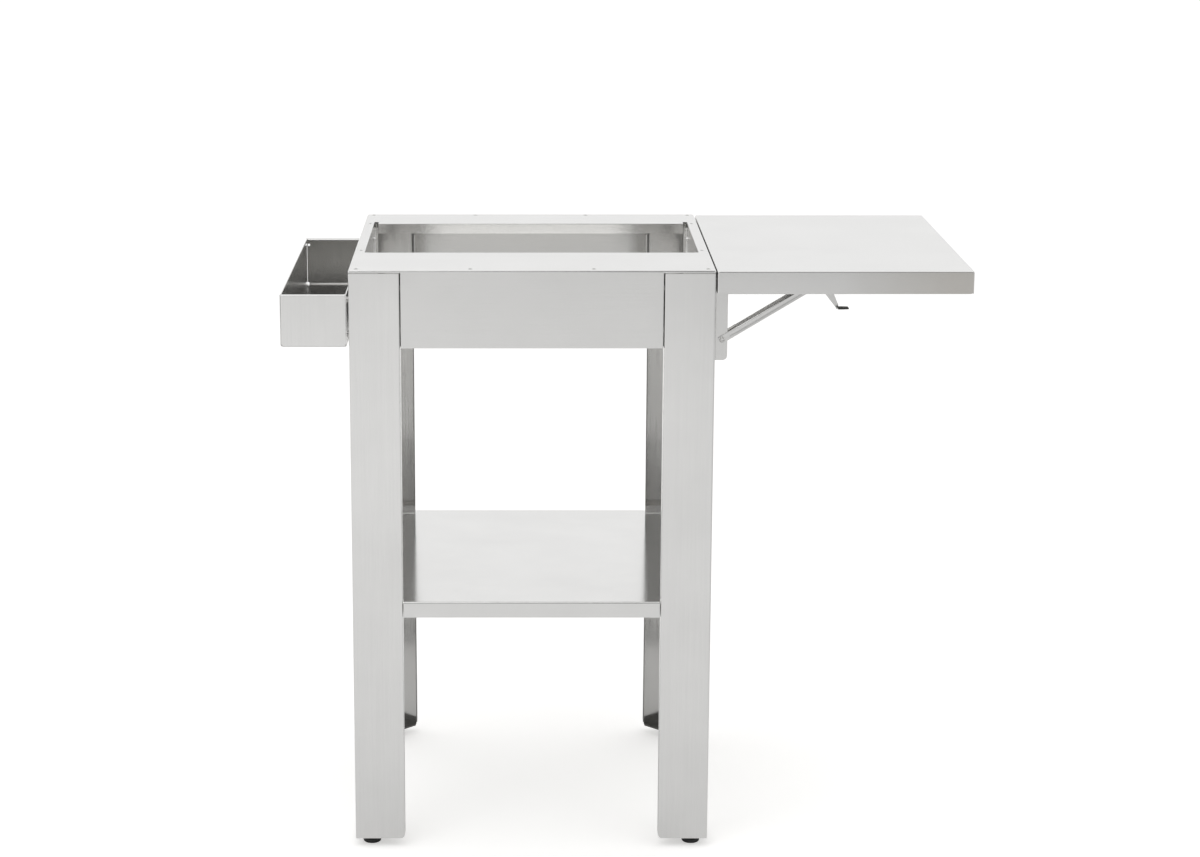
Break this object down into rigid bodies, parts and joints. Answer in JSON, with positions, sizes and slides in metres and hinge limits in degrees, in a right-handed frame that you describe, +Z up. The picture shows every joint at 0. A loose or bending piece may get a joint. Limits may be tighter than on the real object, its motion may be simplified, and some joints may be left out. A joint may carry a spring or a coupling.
{
  "type": "grill stand",
  "caption": "Brushed stainless grill stand: deck with a cut-out on angle legs, lower shelf, hanging side tray and a folding side shelf on latched struts.",
  "frame": {"origin": "on the floor, under the middle of the whole object's box with the side shelf up", "axes": "+X towards the folding side shelf, +Y towards the rear (the narrower deck rail), +Z up"},
  "size_m": [1.0394, 0.55, 0.915],
  "materials": {
    "brushed_sheet": "brushed",
    "plain_sheet": "mill finish",
    "bracket_steel": "satin",
    "fastener_steel": "bright",
    "black_plastic": "matte"
  },
  "bodies": {
    "stand": {"top_deck": "brushed_sheet", "leg_front_left": "brushed_sheet", "leg_front_right": "brushed_sheet", "leg_rear_left": "brushed_sheet", "leg_rear_right": "brushed_sheet", "leg_caps": "plain_sheet", "leg_soles": "plain_sheet", "sole_nuts": "fastener_steel", "stiffening_angles": "plain_sheet", "lower_shelf": "brushed_sheet", "side_tray": "brushed_sheet", "deck_screws": "fastener_steel", "deck_nuts": "fastener_steel", "rail_bolts": "fastener_steel", "rail_standoffs": "fastener_steel", "frame_bolts": "fastener_steel", "frame_nuts": "fastener_steel", "frame_washers": "fastener_steel", "shelf_bolts": "fastener_steel", "shelf_nuts": "fastener_steel", "shelf_washers": "fastener_steel", "tray_bolts": "fastener_steel", "tray_spacers": "fastener_steel", "tray_nuts": "fastener_steel", "bracket_leaf_front": "bracket_steel", "bracket_leaf_rear": "bracket_steel", "leaf_bolts": "fastener_steel", "leaf_nuts": "fastener_steel", "hinge_pins": "fastener_steel", "hinge_bushes": "fastener_steel", "strut_rivets": "fastener_steel"},
    "side_shelf": {"side_shelf_pan": "brushed_sheet", "shelf_stiffener": "plain_sheet", "bracket_arm_front": "bracket_steel", "bracket_arm_rear": "bracket_steel", "shelf_studs": "fastener_steel", "stud_nuts": "fastener_steel", "lever_pins": "fastener_steel", "lever_springs": "fastener_steel"},
    "strut_front": {"strut_front": "bracket_steel", "slide_pin_front": "fastener_steel"},
    "strut_rear": {"strut_rear": "bracket_steel", "slide_pin_rear": "fastener_steel"},
    "lever_front": {"release_lever_front": "bracket_steel", "lever_grip_front": "black_plastic"},
    "lever_rear": {"release_lever_rear": "bracket_steel", "lever_grip_rear": "black_plastic"},
    "foot_front_left": {"glide_front_left": "black_plastic", "stem_front_left": "fastener_steel"},
    "foot_front_right": {"glide_front_right": "black_plastic", "stem_front_right": "fastener_steel"},
    "foot_rear_left": {"glide_rear_left": "black_plastic", "stem_rear_left": "fastener_steel"},
    "foot_rear_right": {"glide_rear_right": "black_plastic", "stem_rear_right": "fastener_steel"}
  },
  "joints": [
    {"name": "shelf_fold", "type": "hinge", "parent": "stand", "child": "side_shelf", "pos_m": [0.14875, 0.24, 0.8845], "axis": [0, 1, 0], "range_deg": [0, 84]},
    {"name": "strut_front_turn", "type": "hinge", "parent": "stand", "child": "strut_front", "pos_m": [0.14575, -0.24, 0.805], "axis": [0, 1, 0], "range_deg": [0, 111.13]},
    {"name": "strut_rear_turn", "type": "hinge", "parent": "stand", "child": "strut_rear", "pos_m": [0.14575, 0.24, 0.805], "axis": [0, 1, 0], "range_deg": [0, 111.13]},
    {"name": "lever_front_pull", "type": "hinge", "parent": "side_shelf", "child": "lever_front", "pos_m": [0.30375, -0.24, 0.8945], "axis": [0, -1, 0], "range_deg": [0, 14], "stiffness_Nm_per_rad": 0.3, "springref_deg": -14.32},
    {"name": "lever_rear_pull", "type": "hinge", "parent": "side_shelf", "child": "lever_rear", "pos_m": [0.30375, 0.24, 0.8945], "axis": [0, -1, 0], "range_deg": [0, 14], "stiffness_Nm_per_rad": 0.3, "springref_deg": -14.32},
    {"name": "foot_front_left_screw", "type": "slide", "parent": "stand", "child": "foot_front_left", "axis": [0, 0, 1], "range_m": [-0.015, 0]},
    {"name": "foot_front_right_screw", "type": "slide", "parent": "stand", "child": "foot_front_right", "axis": [0, 0, 1], "range_m": [-0.015, 0]},
    {"name": "foot_rear_left_screw", "type": "slide", "parent": "stand", "child": "foot_rear_left", "axis": [0, 0, 1], "range_m": [-0.015, 0]},
    {"name": "foot_rear_right_screw", "type": "slide", "parent": "stand", "child": "foot_rear_right", "axis": [0, 0, 1], "range_m": [-0.015, 0]}
  ],
  "couplings": [
    {"joint": "strut_front_turn", "follows": "shelf_fold", "ratio": 1.3217},
    {"joint": "strut_rear_turn", "follows": "shelf_fold", "ratio": 1.3217}
  ]
}
